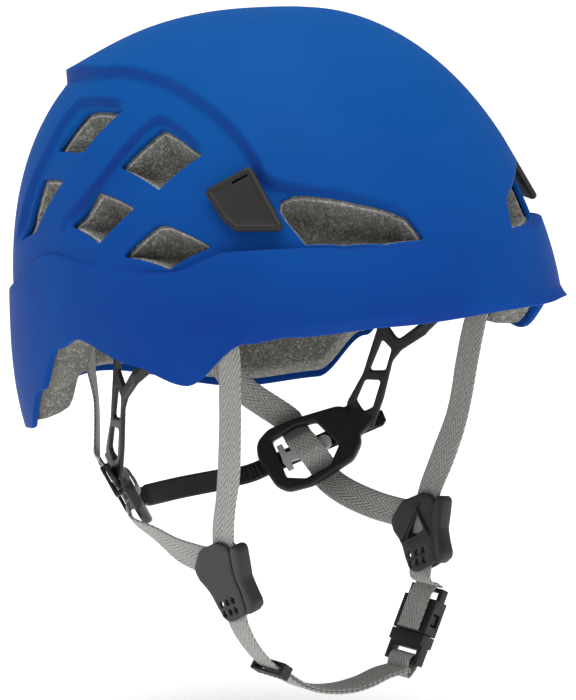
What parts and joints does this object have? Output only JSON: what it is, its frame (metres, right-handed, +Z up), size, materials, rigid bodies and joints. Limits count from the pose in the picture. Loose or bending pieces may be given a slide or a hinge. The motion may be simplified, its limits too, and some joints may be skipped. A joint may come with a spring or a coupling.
{
  "type": "climbing helmet",
  "caption": "Climbing helmet with a vented hard shell, foam liner, headlamp clips, adjustable headband with nape band, webbing dividers and a side-release chin buckle.",
  "frame": {"origin": "centre of the head opening on the mid-plane, level with the shell edge above the ears", "axes": "+Z up through the crown, -Y the way the wearer looks, +X the wearer's left"},
  "size_m": [0.222, 0.2814, 0.3155],
  "materials": {
    "shell_blue": "matte moulded shell",
    "bead_foam": "expanded bead foam",
    "crown_foam": "fine expanded foam",
    "pad_fabric": "brushed knit over foam",
    "clip_black": "fine texture",
    "soft_black": "satin moulded nylon",
    "divider_grey": "matte moulded plastic",
    "pawl_grey": "satin moulded plastic",
    "webbing": "herringbone woven polyester"
  },
  "bodies": {
    "helmet": {"outer_shell": "shell_blue", "side_liner": "bead_foam", "crown_liner": "crown_foam", "forehead_pad": "pad_fabric", "crown_pad": "pad_fabric", "headband_arm_right": "soft_black", "headband_arm_left": "soft_black", "arm_pins_right": "soft_black", "arm_pins_left": "soft_black", "nape_band": "soft_black", "rear_web": "webbing", "front_web_right": "webbing", "front_web_left": "webbing", "divider_base_right": "divider_grey", "divider_base_left": "divider_grey", "chin_web": "webbing", "chin_web_left": "webbing", "buckle_female": "soft_black", "web_anchors": "soft_black"},
    "clip_right": {"headlamp_clip_right": "clip_black"},
    "clip_left": {"headlamp_clip_left": "clip_black"},
    "clip_rear": {"headlamp_clip_rear": "clip_black"},
    "cover_right": {"divider_cover_right": "divider_grey"},
    "cover_left": {"divider_cover_left": "divider_grey"},
    "buckle_plug": {"buckle_male": "soft_black"},
    "keeper": {"strap_keeper": "soft_black"},
    "pawl_right": {"pawl_button_right": "pawl_grey"},
    "pawl_left": {"pawl_button_left": "pawl_grey"}
  },
  "joints": [
    {"name": "clip_right_lift", "type": "hinge", "parent": "helmet", "child": "clip_right", "pos_m": [-0.07796, -0.0505, 0.07115], "axis": [-0.5425, 0.84, 0], "range_deg": [0, 9], "stiffness_Nm_per_rad": 0.6},
    {"name": "clip_left_lift", "type": "hinge", "parent": "helmet", "child": "clip_left", "pos_m": [0.07796, -0.0505, 0.07115], "axis": [-0.5425, -0.84, 0], "range_deg": [0, 9], "stiffness_Nm_per_rad": 0.6},
    {"name": "clip_rear_lift", "type": "hinge", "parent": "helmet", "child": "clip_rear", "pos_m": [0, 0.13483, 0.10142], "axis": [1, 0, 0], "range_deg": [0, 9], "stiffness_Nm_per_rad": 0.6},
    {"name": "cover_right_open", "type": "hinge", "parent": "helmet", "child": "cover_right", "pos_m": [-0.06117, -0.02716, -0.10704], "axis": [-0.18, 0.0742, 0.9809], "range_deg": [0, 100]},
    {"name": "cover_left_open", "type": "hinge", "parent": "helmet", "child": "cover_left", "pos_m": [0.06117, -0.02716, -0.10704], "axis": [-0.18, -0.0742, -0.9809], "range_deg": [0, 100]},
    {"name": "buckle_release", "type": "slide", "parent": "helmet", "child": "buckle_plug", "axis": [-0.5, 0, -0.866], "range_m": [0, 0.02], "deforming": ["chin_web"]},
    {"name": "keeper_slide", "type": "slide", "parent": "helmet", "child": "keeper", "axis": [0.8, 0, -0.6], "range_m": [-0.004, 0.004]},
    {"name": "pawl_right_press", "type": "slide", "parent": "helmet", "child": "pawl_right", "axis": [-0.7504, 0.4777, -0.4568], "range_m": [0, 0.0008], "stiffness_N_per_m": 800},
    {"name": "pawl_left_press", "type": "slide", "parent": "helmet", "child": "pawl_left", "axis": [0.7504, 0.4777, -0.4568], "range_m": [0, 0.0008], "stiffness_N_per_m": 800}
  ]
}
